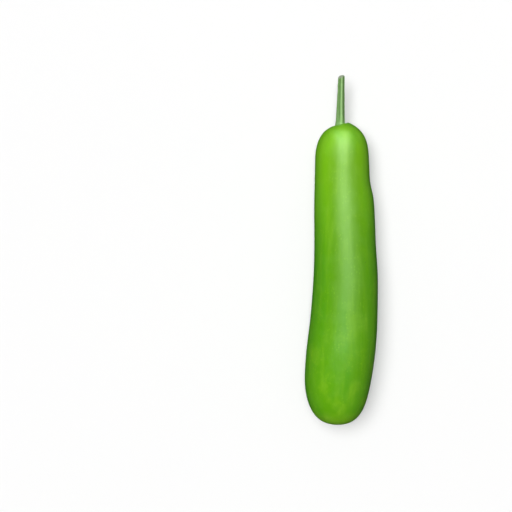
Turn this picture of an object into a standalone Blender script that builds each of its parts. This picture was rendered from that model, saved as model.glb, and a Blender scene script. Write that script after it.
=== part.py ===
"""A long bottle gourd as picked, lying on its side with its cut stalk.

Metres, +Z up. The fruit lies along Y with its stalk towards +Y, and its underside rests on z = 0.
The origin is on that surface, under the middle of the whole object's bounding box.
"""

import math

import bmesh
import bpy
from mathutils import Vector

FRUIT_LENGTH = 0.353
STALK_LENGTH = 0.0590
FLATTENED = 0.0005  # how deep the soft rind settles where it carries the fruit

# The round flank of the fruit, without its two domed ends: distance from the blossom end,
# sideways place of the section's centre, radius of the section.
FLANK = (
    (0.000, -0.0048, 0.0400),
    (0.045, -0.0044, 0.0403),
    (0.088, -0.0004, 0.0406),
    (0.130, 0.0030, 0.0392),
    (0.172, 0.0044, 0.0373),
    (0.225, 0.0028, 0.0349),
    (0.268, 0.0012, 0.0330),
    (0.300, 0.0004, 0.0316),
    (0.353, 0.0006, 0.0310),
)

# The +X side steps out where the neck ends, and nowhere else.
SIDE_STEP = 0.0016
SIDE_STEP_START = 0.283
SIDE_STEP_LENGTH = 0.016
SIDE_STEP_FADE = 0.070  # beyond the step, towards the blossom end

BLOSSOM_DOME = 0.080  # length of the domed end away from the stalk
STEM_DOME = 0.045
BLOSSOM_POWER = 2.75  # 2 is an ellipse, more is a fuller dome
STEM_POWER = 2.6
DOME_RINGS = 10
FLANK_RING_SPACING = 0.008
SIDES = 48

# The hollow at the stalk: a rim that stands higher on one side, and a flat seat at the bottom.
HOLLOW_SIDEWAYS = -0.0034  # from the fruit's own centre
SEAT_RADIUS = 0.0060
SEAT_DEPTH = 0.0024
RIM_RADIUS = 0.0084
RIM_LIFT = 0.0017
RIM_FADE = 0.0130
RIM_HIGH_SIDE = math.radians(-20)  # from +X towards +Z, seen from the blossom end

STALK_GAP = 0.0003
STALK_FOOT_RADIUS = 0.0054
STALK_TIP_RADIUS = 0.0036
STALK_LEAN = 0.0012  # how far the tip stands sideways of the foot
STALK_RISE = 0.0030
STALK_RIDGES = 5
RIDGE_HEIGHT = 0.09  # as a share of the stalk's radius
STALK_SECTION_POINTS = 30
STALK_RINGS = 14
CUT_SLOPE = math.radians(24)

RIND_GREEN = (0.115, 0.385, 0.012, 1.0)
STALK_GREEN = (0.165, 0.330, 0.095, 1.0)
RIND_ROUGHNESS = 0.38
STALK_ROUGHNESS = 0.60


def clear_scene():
    for old in list(bpy.data.objects):
        bpy.data.objects.remove(old, do_unlink=True)


def new_collection(name):
    collection = bpy.data.collections.new(name)
    bpy.context.scene.collection.children.link(collection)
    return collection


def new_material(name, colour, roughness):
    material = bpy.data.materials.new(name)
    material.use_nodes = True
    shader = material.node_tree.nodes["Principled BSDF"]
    shader.inputs["Base Color"].default_value = colour
    shader.inputs["Roughness"].default_value = roughness
    shader.inputs["Metallic"].default_value = 0.0
    return material


def new_object(name, data, collection, material=None):
    made = bpy.data.objects.new(name, data)
    collection.objects.link(made)
    if material is not None:
        data.materials.append(material)
    return made


def evaluated_mesh(source, name):
    """The mesh that an object's modifiers or bevel make, as a plain mesh."""
    graph = bpy.context.evaluated_depsgraph_get()
    mesh = bpy.data.meshes.new_from_object(source.evaluated_get(graph))
    mesh.name = name
    return mesh


def smooth_through(stations, column, distance):
    """One column of the stations at this distance, on a smooth curve through all of them."""
    last = len(stations) - 1
    i = max(0, min(last - 1, sum(row[0] <= distance for row in stations) - 1))
    width = stations[i + 1][0] - stations[i][0]

    def slope(k):
        before, after = stations[max(k - 1, 0)], stations[min(k + 1, last)]
        return (after[column] - before[column]) / (after[0] - before[0])

    t = max(0.0, min(1.0, (distance - stations[i][0]) / width))
    start, end = stations[i][column], stations[i + 1][column]
    return (
        (2 * t**3 - 3 * t**2 + 1) * start
        + (t**3 - 2 * t**2 + t) * width * slope(i)
        + (3 * t**2 - 2 * t**3) * end
        + (t**3 - t**2) * width * slope(i + 1)
    )


def flank_radius(distance):
    return smooth_through(FLANK, 2, distance)


def centre_sideways(distance):
    return smooth_through(FLANK, 1, distance)


def dome(length, power, radius_at, rings):
    """Points (distance from the tip, radius) over one domed end, from its tip to where the flank starts."""
    points = []
    for ring in range(rings + 1):
        turn = math.pi / 2 * ring / rings
        distance = length * (1 - math.cos(turn) ** (2 / power))
        fullness = math.sin(turn) ** (2 / power)
        points.append((distance, radius_at(distance) * fullness))
    return points


def fruit_profile():
    """Points (radius, distance from the blossom end), from the blossom tip to the middle of the stalk's seat."""
    blossom = dome(BLOSSOM_DOME, BLOSSOM_POWER, flank_radius, DOME_RINGS)
    stem = dome(STEM_DOME, STEM_POWER, lambda d: flank_radius(FRUIT_LENGTH - d), DOME_RINGS)
    flank_length = FRUIT_LENGTH - BLOSSOM_DOME - STEM_DOME
    count = round(flank_length / FLANK_RING_SPACING)
    distances = [BLOSSOM_DOME + flank_length * i / count for i in range(1, count)]
    points = [(radius, distance) for distance, radius in blossom]
    points += [(flank_radius(distance), distance) for distance in distances]
    points += [(radius, FRUIT_LENGTH - distance) for distance, radius in reversed(stem) if radius > RIM_RADIUS]
    points.append((RIM_RADIUS, FRUIT_LENGTH))
    points.append(((RIM_RADIUS + SEAT_RADIUS) / 2, FRUIT_LENGTH - SEAT_DEPTH / 3))
    points.append((SEAT_RADIUS, FRUIT_LENGTH - SEAT_DEPTH))
    points.append((0.0, FRUIT_LENGTH - SEAT_DEPTH))
    return points


def hollow_share(point):
    """1 in the hollow at the stalk and up to its rim, fading to 0 out on the shoulder."""
    if point.y < FRUIT_LENGTH - STEM_DOME:
        return 0.0
    beyond = max(0.0, math.hypot(point.x, point.z) - RIM_RADIUS)
    return math.exp(-((beyond / RIM_FADE) ** 2))


def rim_lift(point):
    """How much further the rim of the hollow stands out at this point than the seat inside it."""
    reach = math.hypot(point.x, point.z)
    rise = max(0.0, min(1.0, (reach - SEAT_RADIUS) / (RIM_RADIUS - SEAT_RADIUS)))
    return RIM_LIFT * rise * math.cos(math.atan2(point.z, point.x) - RIM_HIGH_SIDE)


def side_step(point):
    """How far the +X side stands out at this point, past the round section."""
    facing = max(0.0, point.x / flank_radius(point.y))
    past = (SIDE_STEP_START - point.y) / SIDE_STEP_LENGTH
    step = max(0.0, min(1.0, past))
    fade = math.exp(-((max(0.0, past - 1) * SIDE_STEP_LENGTH / SIDE_STEP_FADE) ** 2))
    return SIDE_STEP * step * step * (3 - 2 * step) * fade * facing**2


def laid_down(point):
    """A point of the straight turned fruit, moved to where it is on the bowed fruit at rest on z = 0."""
    hollow = hollow_share(point)
    sideways = point.x + centre_sideways(point.y) + side_step(point) + HOLLOW_SIDEWAYS * hollow
    height = point.z + flank_radius(point.y) - FLATTENED
    return Vector((sideways, point.y + rim_lift(point) * hollow, max(height, 0.0)))


def make_fruit(collection, material):
    profile = fruit_profile()
    outline = bpy.data.meshes.new("fruit_outline")
    outline.from_pydata(
        [(radius, distance, 0.0) for radius, distance in profile],
        [(i, i + 1) for i in range(len(profile) - 1)],
        [],
    )
    turned = new_object("fruit_outline", outline, collection)
    screw = turned.modifiers.new("turn", "SCREW")
    screw.axis = "Y"
    screw.steps = SIDES
    screw.render_steps = SIDES
    screw.use_normal_flip = True
    screw.use_merge_vertices = True
    screw.merge_threshold = 0.00001
    mesh = evaluated_mesh(turned, "fruit")
    bpy.data.objects.remove(turned, do_unlink=True)
    for vertex in mesh.vertices:
        vertex.co = laid_down(vertex.co)
    mesh.shade_smooth()
    mesh.set_sharp_from_angle(angle=math.radians(40))
    return new_object("fruit", mesh, collection, material)


def stalk_section(collection):
    """The stalk's cross-section, a rounded five-sided outline of radius 1, as a guide curve."""
    outline = bpy.data.curves.new("stalk_section", "CURVE")
    outline.dimensions = "2D"
    spline = outline.splines.new("POLY")
    spline.points.add(STALK_SECTION_POINTS - 1)
    for i, point in enumerate(spline.points):
        turn = 2 * math.pi * i / STALK_SECTION_POINTS
        reach = 1 - RIDGE_HEIGHT / 2 * (1 - math.cos(STALK_RIDGES * turn))
        point.co = (reach * math.cos(turn), reach * math.sin(turn), 0.0, 1.0)
    spline.use_cyclic_u = True
    guide = new_object("stalk_section", outline, collection)
    guide.hide_render = True
    guide.display_type = "WIRE"
    return guide


def stalk_line(share):
    """The middle of the stalk and its radius, at this share of the way from the foot to the tip."""
    seat = FRUIT_LENGTH - SEAT_DEPTH
    foot = Vector(
        (
            centre_sideways(seat) + HOLLOW_SIDEWAYS,
            seat + STALK_GAP,
            flank_radius(seat) - FLATTENED,
        )
    )
    along = Vector((STALK_LEAN * share, STALK_LENGTH * share, STALK_RISE * share**2))
    radius = STALK_FOOT_RADIUS + (STALK_TIP_RADIUS - STALK_FOOT_RADIUS) * share
    return foot + along, radius


def make_stalk(collection, guides, material):
    line = bpy.data.curves.new("stalk_line", "CURVE")
    line.dimensions = "3D"
    line.bevel_mode = "OBJECT"
    line.bevel_object = stalk_section(guides)
    line.use_fill_caps = True
    spline = line.splines.new("POLY")
    spline.points.add(STALK_RINGS)
    for i, point in enumerate(spline.points):
        place, radius = stalk_line(i / STALK_RINGS)
        point.co = (*place, 1.0)
        point.radius = radius
    swept = new_object("stalk_line", line, collection)
    mesh = evaluated_mesh(swept, "stem")
    bpy.data.objects.remove(swept, do_unlink=True)
    cut_tip(mesh)
    mesh.shade_smooth()
    mesh.set_sharp_from_angle(angle=math.radians(40))
    return new_object("stem", mesh, collection, material)


def cut_tip(mesh):
    """Cuts the stalk's tip off on a slope, as a knife does."""
    tip, radius = stalk_line(1.0)
    knife_point = tip - Vector((0, radius * math.tan(CUT_SLOPE), 0))
    knife_normal = Vector((math.sin(CUT_SLOPE), math.cos(CUT_SLOPE), 0))
    shape = bmesh.new()
    shape.from_mesh(mesh)
    bmesh.ops.remove_doubles(shape, verts=shape.verts, dist=0.00001)
    bmesh.ops.bisect_plane(
        shape,
        geom=shape.verts[:] + shape.edges[:] + shape.faces[:],
        plane_co=knife_point,
        plane_no=knife_normal,
        clear_outer=True,
    )
    bmesh.ops.holes_fill(shape, edges=shape.edges, sides=0)
    bmesh.ops.recalc_face_normals(shape, faces=shape.faces)
    shape.to_mesh(mesh)
    shape.free()


def centre_on_origin(pieces):
    """Moves the whole gourd so that the origin is under the middle of its bounding box."""
    corners = [vertex.co for piece in pieces for vertex in piece.data.vertices]
    low = [min(corner[axis] for corner in corners) for axis in range(3)]
    high = [max(corner[axis] for corner in corners) for axis in range(3)]
    frame = bpy.data.objects.new("gourd_frame", None)
    pieces[0].users_collection[0].objects.link(frame)
    frame.location = (-(low[0] + high[0]) / 2, -(low[1] + high[1]) / 2, -low[2])
    for piece in pieces:
        piece.parent = frame


def main():
    clear_scene()
    gourd = new_collection("bottle_gourd")
    guides = new_collection("guides")
    rind = new_material("rind", RIND_GREEN, RIND_ROUGHNESS)
    stalk = new_material("stalk", STALK_GREEN, STALK_ROUGHNESS)
    fruit = make_fruit(gourd, rind)
    stem = make_stalk(gourd, guides, stalk)
    centre_on_origin([fruit, stem])


main()
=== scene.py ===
"""A long bottle gourd as picked, lying on its side on a pale surface, with its cut stalk.

Metres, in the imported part's own frame: +Z up, +Y from the blossom end to the cut end of the stalk.
"""

import math

import bpy
from bpy.props import FloatProperty, FloatVectorProperty, IntProperty, PointerProperty
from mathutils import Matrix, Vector


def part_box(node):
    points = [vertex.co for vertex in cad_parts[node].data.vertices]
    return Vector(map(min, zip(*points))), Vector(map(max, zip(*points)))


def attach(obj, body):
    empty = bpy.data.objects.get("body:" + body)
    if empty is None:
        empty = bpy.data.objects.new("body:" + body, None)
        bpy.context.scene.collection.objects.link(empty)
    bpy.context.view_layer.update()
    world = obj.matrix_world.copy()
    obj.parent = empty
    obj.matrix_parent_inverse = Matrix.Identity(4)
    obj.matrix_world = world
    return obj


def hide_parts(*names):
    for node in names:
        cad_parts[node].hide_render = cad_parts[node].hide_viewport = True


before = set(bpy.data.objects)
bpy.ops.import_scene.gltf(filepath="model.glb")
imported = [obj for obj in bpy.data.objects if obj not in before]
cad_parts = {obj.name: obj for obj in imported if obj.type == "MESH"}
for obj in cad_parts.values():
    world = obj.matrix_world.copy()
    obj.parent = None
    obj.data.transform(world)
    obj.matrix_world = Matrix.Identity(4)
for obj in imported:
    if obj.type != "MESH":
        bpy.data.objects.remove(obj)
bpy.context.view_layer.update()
FRUIT_LOW, FRUIT_HIGH = (Vector(corner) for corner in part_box("fruit"))
STALK_LOW, STALK_HIGH = (Vector(corner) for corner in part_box("stem"))

bl_info = {
    "name": "Bottle Gourd",
    "version": (1, 0, 0),
    "blender": (4, 5, 0),
    "location": "3D View > Sidebar > Gourd",
    "description": "Models a long bottle gourd with its stalk, and a plain stage for it",
    "category": "Add Mesh",
}

# The round flank that both domed ends are cut from: distance from the blossom end, sideways place
# of the section's centre, radius.
FLANK = (
    (0.000, -0.0048, 0.0400),
    (0.045, -0.0044, 0.0403),
    (0.088, -0.0004, 0.0406),
    (0.130, 0.0030, 0.0392),
    (0.172, 0.0044, 0.0373),
    (0.225, 0.0028, 0.0349),
    (0.268, 0.0010, 0.0329),
    (0.300, 0.0004, 0.0316),
    (0.353, 0.0006, 0.0310),
)
FLANK_LENGTH = 0.353

# The blossom scar: distance from the blossom end and radius of each ring, from the middle outwards.
SCAR_RINGS = ((0.0010, 0.0008), (0.0016, 0.0020), (0.0019, 0.0031), (0.0012, 0.0040), (0.0010, 0.0052))
# The hollow at the stalk: radius and distance from the stalk end of each ring, from its rim inwards.
HOLLOW_RINGS = ((0.0083, 0.0007), (0.0073, 0.0012), (0.0064, 0.0021), (0.0056, 0.0038), (0.0045, 0.0060))
# How far the rim lies below the fruit's full length before one side of it is raised.
RIM_DROP = 0.0006

# How far the uneven forms reach before they fade into the round section.
SIDE_STEP_FADE = 0.075
RIM_FADE = 0.014
CREASE_FADE = 0.006
# The five small creases round the hollow's rim.
CREASE_HEIGHT = 0.00035
# How much wider the stalk is at its foot, and over which share of its length.
FOOT_FLARE = 0.0007
FOOT_FLARE_SHARE = 0.045
# How brightly the surface glows, and how much of the light on it comes back to the gourd.
FLOOR_GLOW = 0.28
FLOOR_BOUNCE = 0.40


def metres(name, text, default):
    return FloatProperty(name=name, description=text, default=default, unit="LENGTH", precision=4)


def number(name, text, default):
    return FloatProperty(name=name, description=text, default=default, precision=3)


def angle(name, text, degrees):
    return FloatProperty(name=name, description=text, default=math.radians(degrees), unit="ROTATION")


def colour(name, text, default):
    return FloatVectorProperty(
        name=name, description=text, default=default, subtype="COLOR", size=3, min=0.0, max=1.0
    )


class GourdFruit(bpy.types.PropertyGroup):
    length: metres("Length", "Fruit from blossom end to shoulder", FLANK_LENGTH)
    blossom_dome: metres("Blossom dome", "Length of the domed end away from the stalk", 0.080)
    stem_dome: metres("Stem dome", "Length of the domed end at the stalk", 0.045)
    blossom_power: number("Blossom fullness", "2 is an elliptical dome, more is a fuller one", 2.75)
    stem_power: number("Stem fullness", "2 is an elliptical dome, more is a fuller one", 2.6)
    settled: metres("Settled", "How deep the soft rind settles on the surface", 0.0006)
    side_step: metres("Side step", "How far the +X side steps out where the neck ends", 0.0030)
    side_step_start: metres("Step start", "Where the step starts, from the blossom end", 0.284)
    side_step_length: metres("Step length", "Length of the step along the fruit", 0.010)
    lobes: metres("Three sides", "How far the section departs from round", 0.00035)
    swell: metres("Swell", "Height of the slow uneven swelling of the rind", 0.0010)
    rim_radius: metres("Rim radius", "Radius of the hollow's rim at the stalk", 0.0098)
    rim_lift: metres("Rim lift", "How much the rim stands higher on one side", 0.0019)
    left_slope: number("Left slope", "How much the -X shoulder falls away from the stalk", 0.12)
    hollow_sideways: metres("Hollow sideways", "Hollow's centre from the neck's centre", -0.0034)
    sides: IntProperty(name="Sides", description="Sides of the modelling cage", default=30, min=12)


class GourdStalk(bpy.types.PropertyGroup):
    foot_radius: metres("Foot radius", "Radius where the stalk leaves the fruit", 0.0056)
    tip_radius: metres("Tip radius", "Radius at the cut", 0.0037)
    lean: metres("Lean", "How far the tip stands sideways of the foot", 0.0010)
    rise: metres("Rise", "How far the tip stands above the foot", 0.0030)
    ridges: IntProperty(name="Ridges", description="Ridges round the stalk", default=5, min=3)
    ridge_height: number("Ridge height", "Depth of the grooves over the radius", 0.15)
    ridge_turn: angle("First ridge", "Where the first ridge stands, from +X towards +Z", 74)
    twist: angle("Twist", "Turn of the ridges from foot to tip", 9)
    cut_slope: angle("Cut slope", "Slope of the knife cut at the tip", 30)


class GourdColours(bpy.types.PropertyGroup):
    rind_top: colour("Rind", "Rind in full light", (0.112, 0.375, 0.0010))
    # Painted shade: a darker copy of the rind for the low flanks; it also gives random darker tone patches.
    rind_dark_tone_and_painted_shade: colour("Rind flank", "Rind low on the flanks", (0.036, 0.295, 0.0010))
    # Partly painted light: the young rind near the stalk is paler, and brighter still on its upper side as
    # light at the stalk end.
    rind_shoulder_young_and_painted_light: colour("Rind shoulder", "Young rind near the stalk", (0.215, 0.550, 0.0015))
    # Painted shade: a deeper copy of the rind along the fruit's upper side.
    rind_crown_painted_shade: colour("Rind crown", "Deeper green along the upper side", (0.100, 0.260, 0.003))
    rind_pale: colour("Pale fleck", "Flecks and blotches", (0.235, 0.520, 0.012))
    rind_mark: colour("Dark mark", "Small healed scratches and specks", (0.045, 0.120, 0.012))
    scar_tan: colour("Blossom scar", "Dry scar at the blossom end", (0.370, 0.270, 0.105))
    scar_dark: colour("Scar middle", "Middle of the blossom scar", (0.130, 0.078, 0.030))
    # Painted light and shade: ridge tops are painted pale and grooves dark, as light falls on the stalk's
    # relief.
    stalk_ridge_painted_light: colour("Stalk ridge", "Tops of the stalk's ridges", (0.275, 0.500, 0.170))
    # The groove colour also gives the painted shaded side and random darker patches.
    stalk_dark_tone_and_painted_shade: colour("Stalk groove", "Grooves between the ridges", (0.100, 0.225, 0.048))
    stalk_foot: colour("Stalk foot", "Pale green at the foot of the stalk", (0.250, 0.530, 0.130))
    cut_pith: colour("Cut pith", "Dried middle of the cut", (0.420, 0.470, 0.360))
    cut_rim: colour("Cut rim", "Browned edge of the cut", (0.160, 0.210, 0.120))
    floor_pale: colour("Surface", "Pale surface under the gourd", (0.640, 0.640, 0.638))


class GourdStage(bpy.types.PropertyGroup):
    lens: number("Lens", "Focal length of the camera in millimetres", 80.0)
    distance: metres("Distance", "Camera to the gourd's middle height", 1.327)
    camera_left: metres("Camera left", "Camera sideways of the gourd, towards -X", 0.0997)
    camera_along: metres("Camera along", "What the camera aims at, along the gourd", -0.005)
    camera_tilt: angle("Camera tilt", "Camera's lean towards the stalk's end", 6)
    key_strength: number("Key strength", "Strength of the broad even overhead light", 3.25)
    key_spread: angle("Key spread", "Width of the overhead light in the sky", 36)
    key_from_end: angle("Key from the end", "Overhead light's lean towards the stalk's end", 14)
    key_from_left: angle("Key from the left", "Overhead light's lean towards -X", 12)
    shoulder_watts: number("Shoulder softbox", "Watts of the softbox for the sheen near the stalk", 50.0)
    end_watts: number("End softbox", "Watts of the softbox beyond the stalk's end", 46.0)
    strip_watts: number("Strip softbox", "Watts of the softbox for the sheen along the fruit", 3.0)
    sky: number("Fill", "Strength of the even fill light", 0.13)


def colour4(rgb):
    return (*rgb, 1.0)


# Mesh tools


def deselect_all():
    if bpy.context.object is not None and bpy.context.object.mode != "OBJECT":
        bpy.ops.object.mode_set(mode="OBJECT")
    bpy.ops.object.select_all(action="DESELECT")


def start_ring(name, centre, radius_x, radius_z, sides):
    """A flat filled ring across the Y axis, ready in edit mode to be extruded along the fruit or stalk."""
    deselect_all()
    bpy.ops.mesh.primitive_circle_add(
        vertices=sides, radius=1.0, fill_type="NGON", location=centre, rotation=(math.pi / 2, 0, 0)
    )
    piece = bpy.context.object
    piece.name = name
    piece.data.name = name
    piece.scale = (radius_x, radius_z, 1.0)
    bpy.ops.object.transform_apply(location=True, rotation=True, scale=True)
    bpy.ops.object.mode_set(mode="EDIT")
    bpy.ops.mesh.select_all(action="SELECT")
    return piece


def extrude_to(before, after):
    """Extrudes the selected ring from one section to the next: each is a centre, an X and a Z radius."""
    bpy.ops.mesh.extrude_region_move(TRANSFORM_OT_translate={"value": after[0] - before[0]})
    bpy.ops.transform.resize(
        value=(after[1] / before[1], 1.0, after[2] / before[2]), center_override=after[0]
    )


def extruded(name, sections, sides):
    """A closed piece through all the sections, left in object mode with its faces outward.

    Its rings are wider by what rounding a ring of so many sides takes off.
    """
    wider = 3 / (2 + math.cos(2 * math.pi / sides))
    sections = [(centre, radius_x * wider, radius_z * wider) for centre, radius_x, radius_z in sections]
    piece = start_ring(name, *sections[0], sides)
    for before, after in zip(sections, sections[1:]):
        extrude_to(before, after)
    face_outward()
    return piece


def subdivide(piece, levels):
    modifier = piece.modifiers.new("rounding", "SUBSURF")
    modifier.levels = levels
    modifier.render_levels = levels
    bpy.ops.object.modifier_apply(modifier=modifier.name)


def displace(piece, name, height, size, depth):
    """Pushes the surface in and out along its normals by slow noise of this size."""
    texture = bpy.data.textures.new(name, "CLOUDS")
    texture.noise_scale = size
    texture.noise_depth = depth
    modifier = piece.modifiers.new(name, "DISPLACE")
    modifier.texture = texture
    modifier.texture_coords = "LOCAL"
    modifier.strength = height
    modifier.mid_level = 0.45
    bpy.ops.object.modifier_apply(modifier=modifier.name)


def smooth_shading(piece, degrees):
    deselect_all()
    piece.select_set(True)
    bpy.context.view_layer.objects.active = piece
    bpy.ops.object.shade_smooth_by_angle(angle=math.radians(degrees))


def smoothstep(low, high, value):
    t = max(0.0, min(1.0, (value - low) / (high - low)))
    return t * t * (3 - 2 * t)


# The fruit's form


def smooth_through(stations, column, distance):
    """One column of the stations at this distance, on a smooth curve through all of them."""
    last = len(stations) - 1
    i = max(0, min(last - 1, sum(row[0] <= distance for row in stations) - 1))
    width = stations[i + 1][0] - stations[i][0]

    def slope(k):
        before, after = stations[max(k - 1, 0)], stations[min(k + 1, last)]
        return (after[column] - before[column]) / (after[0] - before[0])

    t = max(0.0, min(1.0, (distance - stations[i][0]) / width))
    start, end = stations[i][column], stations[i + 1][column]
    return (
        (2 * t**3 - 3 * t**2 + 1) * start
        + (t**3 - 2 * t**2 + t) * width * slope(i)
        + (3 * t**2 - 2 * t**3) * end
        + (t**3 - t**2) * width * slope(i + 1)
    )


def flank_radius(distance):
    return smooth_through(FLANK, 2, distance)


def flank_sideways(distance):
    return smooth_through(FLANK, 1, distance)


def dome_radius(fruit, distance):
    """Radius of the fruit at this distance from the blossom end, with both domed ends."""
    radius = flank_radius(distance)
    ends = (
        (fruit.blossom_dome, fruit.blossom_power, distance),
        (fruit.stem_dome, fruit.stem_power, fruit.length - distance),
    )
    for length, power, inward in ends:
        if inward < length:
            radius *= max(0.0, 1 - (1 - max(inward, 0.0) / length) ** power) ** (1 / power)
    return radius


def shift_into_place(fruit):
    """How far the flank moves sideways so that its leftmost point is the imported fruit's."""
    steps = 100
    places = [fruit.length * i / steps for i in range(steps + 1)]
    return FRUIT_LOW.x - min(flank_sideways(d) - dome_radius(fruit, d) for d in places)


def centre_at(fruit, shift, distance):
    """The middle of the fruit's section at this distance from the blossom end."""
    height = flank_radius(distance) - fruit.settled
    return Vector((shift + flank_sideways(distance), FRUIT_LOW.y + distance, height))


def dome_distances(length, power, inner_share, rings):
    """Distances from a dome's tip that space its rings evenly round the curve."""
    first = math.asin(inner_share ** (power / 2))
    turns = [first + (math.pi / 2 - first) * i / rings for i in range(rings)]
    return [length * (1 - math.cos(turn) ** (2 / power)) for turn in turns]


def fruit_sections(fruit):
    """Every ring of the fruit, from the middle of the blossom scar to the floor of the stalk's hollow."""
    shift = shift_into_place(fruit)
    flank = fruit.length - fruit.blossom_dome - fruit.stem_dome
    flank_rings = 18
    blossom = dome_distances(fruit.blossom_dome, fruit.blossom_power, 0.22, 8)
    stem = dome_distances(fruit.stem_dome, fruit.stem_power, 0.40, 8)
    distances = blossom + [fruit.blossom_dome + flank * i / flank_rings for i in range(flank_rings + 1)]
    distances += [fruit.length - inward for inward in reversed(stem)]

    rings = [(inward, radius) for inward, radius in SCAR_RINGS]
    rings += [(distance, dome_radius(fruit, distance)) for distance in distances]
    rings += [(fruit.length - RIM_DROP, fruit.rim_radius)]
    rings += [(fruit.length - deep, radius) for radius, deep in HOLLOW_RINGS]
    return [(centre_at(fruit, shift, distance), radius, radius) for distance, radius in rings]


def side_step(fruit, distance, facing):
    """How far the +X side stands out, past the round section."""
    past = fruit.side_step_start - distance
    fade = math.exp(-((max(0.0, past - fruit.side_step_length) / SIDE_STEP_FADE) ** 2))
    return fruit.side_step * smoothstep(0.0, fruit.side_step_length, past) * fade * max(0.0, facing) ** 2


def shape_fruit(piece, fruit):
    """Moves the cage's points from the round sections to the uneven ones of a grown fruit."""
    shift = shift_into_place(fruit)
    shoulder = fruit.length - fruit.stem_dome
    for vertex in piece.data.vertices:
        distance = vertex.co.y - FRUIT_LOW.y
        centre = centre_at(fruit, shift, min(max(distance, 0.0), fruit.length))
        arm = Vector((vertex.co.x - centre.x, 0, vertex.co.z - centre.z))
        reach = arm.length
        turn = math.atan2(arm.z, arm.x)
        body = smoothstep(0.01, 0.05, distance) * smoothstep(0.0, 0.04, fruit.length - distance)
        lobe = math.cos(3 * turn + 0.8 + 4 * distance) * body
        vertex.co += arm * fruit.lobes / flank_radius(distance) * lobe
        vertex.co.x += side_step(fruit, distance, math.cos(turn))
        if distance > shoulder:
            hollow = math.exp(-((max(0.0, reach - fruit.rim_radius) / RIM_FADE) ** 2))
            rise = smoothstep(0.003, fruit.rim_radius, reach)
            crease = CREASE_HEIGHT * math.cos(5 * turn + 0.6) * smoothstep(0.004, 0.008, reach)
            crease *= math.exp(-((max(0.0, reach - 0.009) / CREASE_FADE) ** 2))
            near_stalk = smoothstep(shoulder, fruit.length, distance)
            vertex.co.y += fruit.left_slope * min(0.0, arm.x) * near_stalk
            vertex.co.x += fruit.hollow_sideways * hollow
            vertex.co.y += (fruit.rim_lift * math.cos(turn) * rise + crease) * hollow


def mark_upward(piece, fruit):
    """Stores on each point how far up the round section it stands, from -1 underneath to 1 on top."""
    shift = shift_into_place(fruit)
    upward = piece.data.attributes.new("upward", "FLOAT", "POINT")
    for vertex in piece.data.vertices:
        distance = min(max(vertex.co.y - FRUIT_LOW.y, 0.0), fruit.length)
        above = vertex.co.z - centre_at(fruit, shift, distance).z
        upward.data[vertex.index].value = above / flank_radius(distance)


def select_only(piece, kind, wanted):
    """Selects in edit mode only the piece's vertices or faces that are wanted, and stays in edit mode."""
    bpy.ops.object.mode_set(mode="EDIT")
    bpy.ops.mesh.select_mode(type=kind)
    bpy.ops.mesh.select_all(action="DESELECT")
    bpy.ops.object.mode_set(mode="OBJECT")
    for element in piece.data.vertices if kind == "VERT" else piece.data.polygons:
        element.select = wanted(element)
    bpy.ops.object.mode_set(mode="EDIT")


def face_outward():
    """Turns every face of the piece in edit mode outward, and goes back to object mode."""
    bpy.ops.mesh.select_all(action="SELECT")
    bpy.ops.mesh.normals_make_consistent(inside=False)
    bpy.ops.object.mode_set(mode="OBJECT")


def settle(piece):
    """Flattens whatever is under the surface onto it, as the rind does where it carries the fruit."""
    select_only(piece, "VERT", lambda vertex: vertex.co.z < 0.0)
    bpy.ops.transform.resize(value=(1.0, 1.0, 0.0), center_override=(0.0, 0.0, 0.0))
    face_outward()


# The stalk's form


def stalk_foot(fruit):
    """The middle of the stalk's foot, at the bottom of the hollow."""
    neck = centre_at(fruit, shift_into_place(fruit), fruit.length)
    return Vector((neck.x + fruit.hollow_sideways, STALK_LOW.y, neck.z))


def stalk_centre(stalk, foot, share):
    """The middle of the stalk, at this share of the way from its foot in the hollow to its tip."""
    length = STALK_HIGH.y - STALK_LOW.y
    return foot + Vector((stalk.lean * share, length * share, stalk.rise * share * abs(share)))


def stalk_radius(stalk, share):
    taper = stalk.foot_radius + (stalk.tip_radius - stalk.foot_radius) * max(0.0, share)
    return taper + FOOT_FLARE * math.exp(-((max(0.0, share) / FOOT_FLARE_SHARE) ** 2))


def stalk_sections(stalk, foot):
    shares = [-0.05, 0.0, 0.03, 0.06, 0.10] + [0.15 + 0.06 * i for i in range(15)]
    radii = [stalk_radius(stalk, share) for share in shares]
    return [(stalk_centre(stalk, foot, share), radius, radius) for share, radius in zip(shares, radii)]


def stalk_place(stalk, foot, point):
    """Share of the stalk's length, height on a ridge from 0 to 1, and arm from its middle of a point."""
    share = (point.y - STALK_LOW.y) / (STALK_HIGH.y - STALK_LOW.y)
    centre = stalk_centre(stalk, foot, share)
    arm = Vector((point.x - centre.x, 0.0, point.z - centre.z))
    turn = math.atan2(arm.z, arm.x) - stalk.ridge_turn - stalk.twist * share
    return share, 0.5 + 0.5 * math.cos(stalk.ridges * turn), arm


def shape_stalk(piece, stalk, foot):
    """Sinks the grooves between the ridges, less where the stalk swells into the fruit."""
    for vertex in piece.data.vertices:
        share, crest, arm = stalk_place(stalk, foot, vertex.co)
        depth = stalk.ridge_height * (0.45 + 0.55 * smoothstep(0.0, 0.15, share))
        vertex.co -= arm * depth * (1 - crest) ** 1.4


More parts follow.
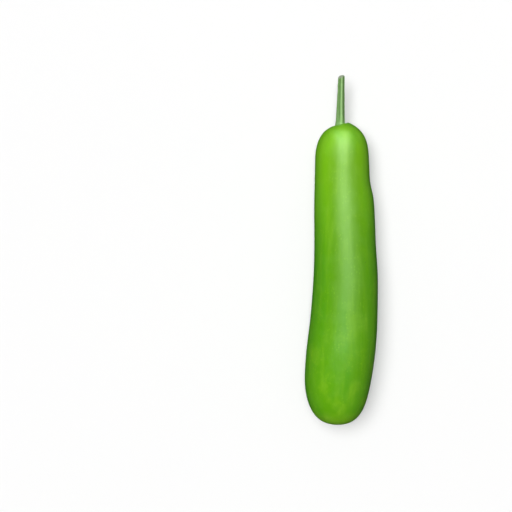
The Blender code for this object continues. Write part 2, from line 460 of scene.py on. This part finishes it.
def cut_stalk(piece, stalk, foot):
    """Cuts the tip off on a slope, and sinks the dried pith inside the cut's rim."""
    slope = stalk.cut_slope
    normal = Vector((-math.sin(slope) * 0.75, math.cos(slope), math.sin(slope) * 0.66)).normalized()
    place = stalk_centre(stalk, foot, 1.0) - Vector((0, stalk.tip_radius * math.tan(slope), 0))
    bpy.ops.object.mode_set(mode="EDIT")
    bpy.ops.mesh.select_mode(type="FACE")
    bpy.ops.mesh.select_all(action="SELECT")
    bpy.ops.mesh.bisect(plane_co=place, plane_no=normal, use_fill=True, clear_outer=True)
    select_only(piece, "FACE", lambda face: len(face.vertices) > 8 and face.center.y > place.y - 0.01)
    middle = place
    for size, depth in ((0.94, 0.00020), (0.82, 0.00022), (0.90, -0.00012), (0.55, -0.00035)):
        middle = middle + normal * depth
        bpy.ops.mesh.extrude_region_move(TRANSFORM_OT_translate={"value": normal * depth})
        bpy.ops.transform.resize(value=(size, size, size), center_override=middle)
    face_outward()
    return place, normal


def mark_stalk(piece, stalk, foot, cut_place, cut_normal):
    """Stores on each point how high it is on a ridge, and how near it is to the cut."""
    ridge = piece.data.attributes.new("ridge", "FLOAT", "POINT")
    cut = piece.data.attributes.new("cut", "FLOAT", "POINT")
    for vertex in piece.data.vertices:
        ridge.data[vertex.index].value = stalk_place(stalk, foot, vertex.co)[1]
        below = (cut_place - vertex.co).dot(cut_normal)
        cut.data[vertex.index].value = 1 - smoothstep(0.0001, 0.0012, below)


# Material tools


def new_material(name):
    material = bpy.data.materials.new(name)
    material.use_nodes = True
    return material, material.node_tree, material.node_tree.nodes["Principled BSDF"]


def object_coordinates(tree, centre=(0, 0, 0), scale=(1, 1, 1)):
    """Object coordinates measured from a centre, stretched by a scale."""
    source = tree.nodes.new("ShaderNodeTexCoord")
    mapping = tree.nodes.new("ShaderNodeMapping")
    mapping.vector_type = "POINT"
    mapping.inputs["Location"].default_value = [-c * s for c, s in zip(centre, scale)]
    mapping.inputs["Scale"].default_value = scale
    tree.links.new(source.outputs["Object"], mapping.inputs["Vector"])
    return mapping.outputs["Vector"]


def noise(tree, vector, scale, detail=3.0, roughness=0.5, distortion=0.0):
    node = tree.nodes.new("ShaderNodeTexNoise")
    node.inputs["Scale"].default_value = scale
    node.inputs["Detail"].default_value = detail
    node.inputs["Roughness"].default_value = roughness
    node.inputs["Distortion"].default_value = distortion
    tree.links.new(vector, node.inputs["Vector"])
    return node.outputs["Fac"]


def cells(tree, vector, scale, output="Distance"):
    node = tree.nodes.new("ShaderNodeTexVoronoi")
    node.inputs["Scale"].default_value = scale
    tree.links.new(vector, node.inputs["Vector"])
    return node.outputs[output]


def ranged(tree, value, low, high, to_low=0.0, to_high=1.0):
    """The value, eased from one range to another and kept inside it."""
    node = tree.nodes.new("ShaderNodeMapRange")
    node.interpolation_type = "SMOOTHSTEP"
    for name, setting in (("From Min", low), ("From Max", high), ("To Min", to_low), ("To Max", to_high)):
        node.inputs[name].default_value = setting
    tree.links.new(value, node.inputs["Value"])
    return node.outputs["Result"]


def maths(tree, operation, first, second):
    node = tree.nodes.new("ShaderNodeMath")
    node.operation = operation
    for socket, value in zip(node.inputs, (first, second)):
        if isinstance(value, (int, float)):
            socket.default_value = value
        else:
            tree.links.new(value, socket)
    return node.outputs["Value"]


def mixed(tree, factor, first, second):
    """Two colours mixed: each may be a plain colour or another node's output."""
    node = tree.nodes.new("ShaderNodeMix")
    node.data_type = "RGBA"
    for socket, value in ((node.inputs[0], factor), (node.inputs[6], first), (node.inputs[7], second)):
        if isinstance(value, bpy.types.NodeSocket):
            tree.links.new(value, socket)
        else:
            socket.default_value = value
    return node.outputs[2]


def separate(tree, vector):
    node = tree.nodes.new("ShaderNodeSeparateXYZ")
    tree.links.new(vector, node.inputs["Vector"])
    return node.outputs


def length_of(tree, vector):
    node = tree.nodes.new("ShaderNodeVectorMath")
    node.operation = "LENGTH"
    tree.links.new(vector, node.inputs[0])
    return node.outputs["Value"]


def bump(tree, height, distance, under=None, strength=1.0):
    node = tree.nodes.new("ShaderNodeBump")
    node.inputs["Distance"].default_value = distance
    node.inputs["Strength"].default_value = strength
    tree.links.new(height, node.inputs["Height"])
    if under is not None:
        tree.links.new(under, node.inputs["Normal"])
    return node.outputs["Normal"]


def attribute(tree, name):
    node = tree.nodes.new("ShaderNodeAttribute")
    node.attribute_name = name
    return node.outputs["Fac"]


# Materials


def rind_material():
    """Waxy young rind: painted shade on the flanks and along the top, paler near the stalk partly as
    painted light, streaks, flecks, blotches at the blossom end and its dry scar.
    """
    colours = bpy.context.scene.gourd_colours
    fruit = bpy.context.scene.gourd_fruit
    material, tree, shader = new_material("rind")
    plain = object_coordinates(tree)
    lengthwise = object_coordinates(tree, scale=(1.0, 0.10, 1.0))
    place = separate(tree, plain)

    # Painted shade: the rind darkens from the full-light colour on top to the flank colour low down.
    height = ranged(tree, place["Z"], FRUIT_HIGH.z * 0.30, FRUIT_HIGH.z * 0.92)
    green = mixed(tree, height, colour4(colours.rind_dark_tone_and_painted_shade), colour4(colours.rind_top))
    # Partly painted light: the rind pales toward the stalk, more on the upper side than low on the flanks.
    young_and_painted_light_toward_stalk = ranged(
        tree, place["Y"], FRUIT_LOW.y + 0.48 * fruit.length, FRUIT_LOW.y + 0.98 * fruit.length
    )
    young_and_painted_light_toward_stalk = maths(tree, "MULTIPLY", young_and_painted_light_toward_stalk, ranged(tree, height, 0.0, 1.0, 0.55, 0.95))
    green = mixed(tree, young_and_painted_light_toward_stalk, green, colour4(colours.rind_shoulder_young_and_painted_light))

    # Painted shade: deeper green along the top of the fruit, weak near the blossom end and full from the
    # middle to the stalk.
    along_crown_painted_shade = ranged(
        tree, place["Y"], FRUIT_LOW.y + 0.15 * fruit.length, FRUIT_LOW.y + 0.50 * fruit.length, 0.04, 0.46
    )
    crown_painted_shade = maths(tree, "MULTIPLY", ranged(tree, attribute(tree, "upward"), 0.70, 1.0), along_crown_painted_shade)
    green = mixed(tree, crown_painted_shade, green, colour4(colours.rind_crown_painted_shade))
    tender_end = ranged(tree, place["Y"], FRUIT_LOW.y + 0.026, FRUIT_LOW.y, 0.0, 0.70)
    green = mixed(tree, tender_end, green, colour4(colours.rind_pale))

    streaks = ranged(tree, noise(tree, lengthwise, 150.0, 4.0, 0.6), 0.45, 0.75)
    green = mixed(tree, maths(tree, "MULTIPLY", streaks, 0.26), green, colour4(colours.rind_pale))
    shade = ranged(tree, noise(tree, lengthwise, 62.0, 3.0, 0.55), 0.50, 0.78)
    green = mixed(tree, maths(tree, "MULTIPLY", shade, 0.32), green, colour4(colours.rind_dark_tone_and_painted_shade))

    toward_blossom = ranged(tree, place["Y"], FRUIT_LOW.y + 0.60 * fruit.length, FRUIT_LOW.y, 0.30, 1.0)
    blotches = ranged(tree, noise(tree, plain, 42.0, 4.0, 0.55, 0.4), 0.52, 0.70)
    blotches = maths(tree, "MULTIPLY", blotches, toward_blossom)
    green = mixed(tree, maths(tree, "MULTIPLY", blotches, 0.36), green, colour4(colours.rind_pale))

    flecks = ranged(tree, cells(tree, object_coordinates(tree, scale=(1.0, 0.7, 1.0)), 330.0), 0.36, 0.16)
    patches = ranged(tree, noise(tree, plain, 75.0, 2.0), 0.42, 0.62)
    flecks = maths(tree, "MULTIPLY", flecks, patches)
    green = mixed(tree, maths(tree, "MULTIPLY", flecks, 0.30), green, colour4(colours.rind_pale))

    specks = ranged(tree, cells(tree, plain, 48.0), 0.045, 0.02)
    chosen = ranged(tree, noise(tree, plain, 30.0, 0.0), 0.52, 0.60)
    specks = maths(tree, "MULTIPLY", specks, chosen)
    green = mixed(tree, maths(tree, "MULTIPLY", specks, 0.65), green, colour4(colours.rind_mark))

    tip = centre_at(fruit, shift_into_place(fruit), 0.0)
    from_tip = length_of(tree, object_coordinates(tree, centre=tip))
    ragged = maths(tree, "MULTIPLY", noise(tree, plain, 330.0, 5.0, 0.65), 0.0060)
    from_tip = maths(tree, "ADD", from_tip, ragged)
    scar = ranged(tree, from_tip, 0.0086, 0.0070)
    middle = ranged(tree, from_tip, 0.0066, 0.0036, 0.0, 0.75)
    tan = mixed(tree, middle, colour4(colours.scar_tan), colour4(colours.scar_dark))
    green = mixed(tree, scar, green, tan)
    tree.links.new(green, shader.inputs["Base Color"])

    gloss = ranged(tree, noise(tree, plain, 90.0, 4.0), 0.30, 0.75, 0.36, 0.50)
    gloss = maths(tree, "ADD", gloss, maths(tree, "MULTIPLY", scar, 0.35))
    tree.links.new(gloss, shader.inputs["Roughness"])
    shader.inputs["Specular IOR Level"].default_value = 0.43

    normal = bump(tree, noise(tree, lengthwise, 210.0, 3.0, 0.6), 0.00010)
    normal = bump(tree, noise(tree, plain, 1500.0, 2.0), 0.000025, normal)
    normal = bump(tree, maths(tree, "SUBTRACT", 1.0, specks), 0.00012, normal)
    normal = bump(tree, maths(tree, "MULTIPLY", scar, noise(tree, plain, 700.0, 3.0)), 0.0006, normal)
    tree.links.new(normal, shader.inputs["Normal"])
    return material


def stalk_material():
    """Fibrous green stalk: ridges painted pale as light and grooves painted dark as shade, a painted shaded
    side, a fresh foot and a dried cut.
    """
    colours = bpy.context.scene.gourd_colours
    material, tree, shader = new_material("stalk")
    plain = object_coordinates(tree)
    fibres = object_coordinates(tree, scale=(1.0, 0.035, 1.0))
    place = separate(tree, plain)
    along = place["Y"]
    foot_place = stalk_foot(bpy.context.scene.gourd_fruit)

    # Painted light and shade: pale on the ridge tops and dark in the grooves, broken by the fibres.
    fibre = noise(tree, fibres, 1900.0, 4.0, 0.65)
    ridge = maths(tree, "ADD", attribute(tree, "ridge"), maths(tree, "MULTIPLY", fibre, 0.5))
    ridge = ranged(tree, ridge, 0.42, 1.22)
    green = mixed(tree, ridge, colour4(colours.stalk_dark_tone_and_painted_shade), colour4(colours.stalk_ridge_painted_light))
    foot = ranged(tree, along, STALK_LOW.y + 0.014, STALK_LOW.y + 0.001)
    green = mixed(tree, maths(tree, "MULTIPLY", foot, 0.6), green, colour4(colours.stalk_foot))
    # Painted shade: the -X side of the stalk is mixed toward the dark groove colour.
    shaded = ranged(tree, place["X"], foot_place.x + 0.0012, foot_place.x - 0.0030, 0.0, 0.65)
    green = mixed(tree, shaded, green, colour4(colours.stalk_dark_tone_and_painted_shade))
    patches = ranged(tree, noise(tree, plain, 260.0, 3.0), 0.55, 0.75)
    green = mixed(tree, maths(tree, "MULTIPLY", patches, 0.25), green, colour4(colours.stalk_dark_tone_and_painted_shade))
    hairs = ranged(tree, cells(tree, object_coordinates(tree, scale=(1.0, 0.4, 1.0)), 1700.0), 0.30, 0.12)
    green = mixed(tree, maths(tree, "MULTIPLY", hairs, 0.22), green, colour4(colours.cut_pith))

    cut = attribute(tree, "cut")
    worn = maths(tree, "MULTIPLY", cut, ranged(tree, noise(tree, plain, 900.0, 3.0), 0.25, 0.7, 0.55, 1.0))
    dried = mixed(tree, ranged(tree, fibre, 0.35, 0.7), colour4(colours.cut_rim), colour4(colours.cut_pith))
    green = mixed(tree, worn, green, dried)
    tree.links.new(green, shader.inputs["Base Color"])
    tree.links.new(ranged(tree, fibre, 0.3, 0.7, 0.50, 0.68), shader.inputs["Roughness"])
    shader.inputs["Specular IOR Level"].default_value = 0.35
    shader.inputs["Sheen Weight"].default_value = 0.05
    shader.inputs["Sheen Roughness"].default_value = 0.45

    normal = bump(tree, fibre, 0.00025)
    normal = bump(tree, noise(tree, plain, 1400.0, 3.0), 0.00008, normal)
    tree.links.new(normal, shader.inputs["Normal"])
    return material


def floor_material():
    """A pale matt board with the slightest mottle, softly lit from within."""
    colours = bpy.context.scene.gourd_colours
    material, tree, shader = new_material("pale_surface")
    pale = colour4(colours.floor_pale)
    duller = colour4([0.985 * channel for channel in colours.floor_pale])
    mottle = noise(tree, object_coordinates(tree), 3.0, 4.0)
    path = tree.nodes.new("ShaderNodeLightPath")
    bounced = colour4([FLOOR_BOUNCE] * 3)
    seen = mixed(tree, mottle, pale, duller)
    tree.links.new(mixed(tree, path.outputs["Is Camera Ray"], bounced, seen), shader.inputs["Base Color"])
    glow = maths(tree, "MULTIPLY", path.outputs["Is Camera Ray"], FLOOR_GLOW)
    tree.links.new(glow, shader.inputs["Emission Strength"])
    shader.inputs["Emission Color"].default_value = (1.0, 1.0, 1.0, 1.0)
    shader.inputs["Roughness"].default_value = 0.85
    shader.inputs["Specular IOR Level"].default_value = 0.15
    return material


# Operators


class GOURD_OT_fruit(bpy.types.Operator):
    """Model the gourd's fruit, with its blossom scar and the hollow at its stalk"""

    bl_idname = "gourd.fruit"
    bl_label = "Fruit"

    def execute(self, context):
        fruit = context.scene.gourd_fruit
        piece = extruded("gourd_fruit", fruit_sections(fruit), fruit.sides)
        shape_fruit(piece, fruit)
        subdivide(piece, 2)
        displace(piece, "slow_swell", fruit.swell, 0.045, 0)
        subdivide(piece, 1)
        displace(piece, "fine_swell", fruit.swell * 0.12, 0.011, 1)
        settle(piece)
        mark_upward(piece, fruit)
        smooth_shading(piece, 60)
        piece.data.materials.append(rind_material())
        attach(piece, "root")
        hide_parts("fruit")
        return {"FINISHED"}


class GOURD_OT_stalk(bpy.types.Operator):
    """Model the ridged stalk and its slanting cut"""

    bl_idname = "gourd.stalk"
    bl_label = "Stalk"

    def execute(self, context):
        stalk = context.scene.gourd_stalk
        foot = stalk_foot(context.scene.gourd_fruit)
        piece = extruded("gourd_stalk", stalk_sections(stalk, foot), 8 * stalk.ridges)
        shape_stalk(piece, stalk, foot)
        subdivide(piece, 2)
        displace(piece, "stalk_bumps", 0.0005, 0.006, 1)
        cut_place, cut_normal = cut_stalk(piece, stalk, foot)
        mark_stalk(piece, stalk, foot, cut_place, cut_normal)
        smooth_shading(piece, 35)
        piece.data.materials.append(stalk_material())
        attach(piece, "root")
        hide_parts("stem")
        return {"FINISHED"}


class GOURD_OT_stage(bpy.types.Operator):
    """Set up the pale surface, the soft light and the camera that looks down on the gourd"""

    bl_idname = "gourd.stage"
    bl_label = "Stage"

    def execute(self, context):
        add_floor()
        add_lights(context.scene)
        add_camera(context.scene)
        context.scene.view_settings.view_transform = "Standard"
        context.scene.view_settings.look = "None"
        return {"FINISHED"}


def add_floor():
    deselect_all()
    bpy.ops.mesh.primitive_plane_add(size=30.0, location=(0, 0, -0.0002))
    floor = bpy.context.object
    floor.name = "pale_surface"
    bpy.ops.object.transform_apply(location=True, rotation=True, scale=True)
    floor.data.materials.append(floor_material())
    floor.visible_glossy = False


def add_softbox(name, place, target, width, length, watts):
    bpy.ops.object.light_add(type="AREA", location=place)
    softbox = bpy.context.object
    softbox.name = name
    softbox.data.shape = "RECTANGLE"
    softbox.data.size = width
    softbox.data.size_y = length
    softbox.data.energy = watts
    softbox.visible_camera = False
    softbox.visible_diffuse = False
    softbox.rotation_euler = (Vector(target) - Vector(place)).to_track_quat("-Z", "Y").to_euler()


def add_sky(scene, fill, reflected, seen):
    """An even sky: its strength as fill, in the rind's gloss, and as seen behind the surface."""
    world = bpy.data.worlds.new("pale_sky")
    scene.world = world
    world.use_nodes = True
    tree = world.node_tree
    path = tree.nodes.new("ShaderNodeLightPath")
    strength = mixed(tree, path.outputs["Is Diffuse Ray"], colour4([reflected] * 3), colour4([fill] * 3))
    strength = mixed(tree, path.outputs["Is Camera Ray"], strength, colour4([seen] * 3))
    tree.links.new(strength, tree.nodes["Background"].inputs["Color"])


def add_lights(scene):
    stage = scene.gourd_stage
    bpy.ops.object.light_add(type="SUN", location=(0.0, 0.0, 2.5))
    key = bpy.context.object
    key.name = "overhead_light"
    key.data.energy = stage.key_strength
    key.data.angle = stage.key_spread
    key.rotation_euler = (-stage.key_from_end, -stage.key_from_left, 0)
    key.visible_glossy = False
    neck = (0.0, FRUIT_HIGH.y - 0.05, FRUIT_HIGH.z)
    add_softbox("shoulder_softbox", (0.02, 0.84, 1.50), neck, 1.5, 1.30, stage.shoulder_watts)
    add_softbox("end_softbox", (-0.10, 1.70, 0.90), neck, 2.4, 1.2, stage.end_watts)
    belly = (0.0, FRUIT_LOW.y + 0.15, FRUIT_HIGH.z)
    add_softbox("strip_softbox", (0.62, -0.22, 1.45), belly, 1.0, 1.5, stage.strip_watts)
    add_sky(scene, fill=stage.sky, reflected=0.004, seen=0.93)


def add_camera(scene):
    stage = scene.gourd_stage
    middle = Vector((-stage.camera_left, stage.camera_along, FRUIT_HIGH.z / 2))
    tilt = stage.camera_tilt
    away = Vector((0, math.sin(tilt), math.cos(tilt))) * stage.distance
    bpy.ops.object.camera_add(location=middle + away, rotation=(-tilt, 0, 0))
    camera = bpy.context.object
    camera.name = "gourd_camera"
    camera.data.lens = stage.lens
    scene.camera = camera


class GOURD_PT_panel(bpy.types.Panel):
    """Lists the gourd's sizes and colours, and the steps that build it"""

    bl_label = "Bottle Gourd"
    bl_idname = "GOURD_PT_panel"
    bl_space_type = "VIEW_3D"
    bl_region_type = "UI"
    bl_category = "Gourd"

    def draw(self, context):
        column = self.layout.column()
        for settings in SETTINGS:
            column.separator()
            group = getattr(context.scene, settings)
            for name in group.bl_rna.properties.keys():
                if name not in ("rna_type", "name"):
                    column.prop(group, name)
        for operator in OPERATORS:
            column.operator(operator.bl_idname)


OPERATORS = (GOURD_OT_fruit, GOURD_OT_stalk, GOURD_OT_stage)
SETTINGS = {
    "gourd_fruit": GourdFruit,
    "gourd_stalk": GourdStalk,
    "gourd_colours": GourdColours,
    "gourd_stage": GourdStage,
}


def register():
    for group in (*SETTINGS.values(), *OPERATORS, GOURD_PT_panel):
        bpy.utils.register_class(group)
    for name, group in SETTINGS.items():
        setattr(bpy.types.Scene, name, PointerProperty(type=group))


def unregister():
    for name in SETTINGS:
        delattr(bpy.types.Scene, name)
    for group in reversed((*SETTINGS.values(), *OPERATORS, GOURD_PT_panel)):
        bpy.utils.unregister_class(group)


def main():
    register()
    bpy.ops.gourd.fruit()
    bpy.ops.gourd.stalk()
    bpy.ops.gourd.stage()


if __name__ == "__main__":
    main()
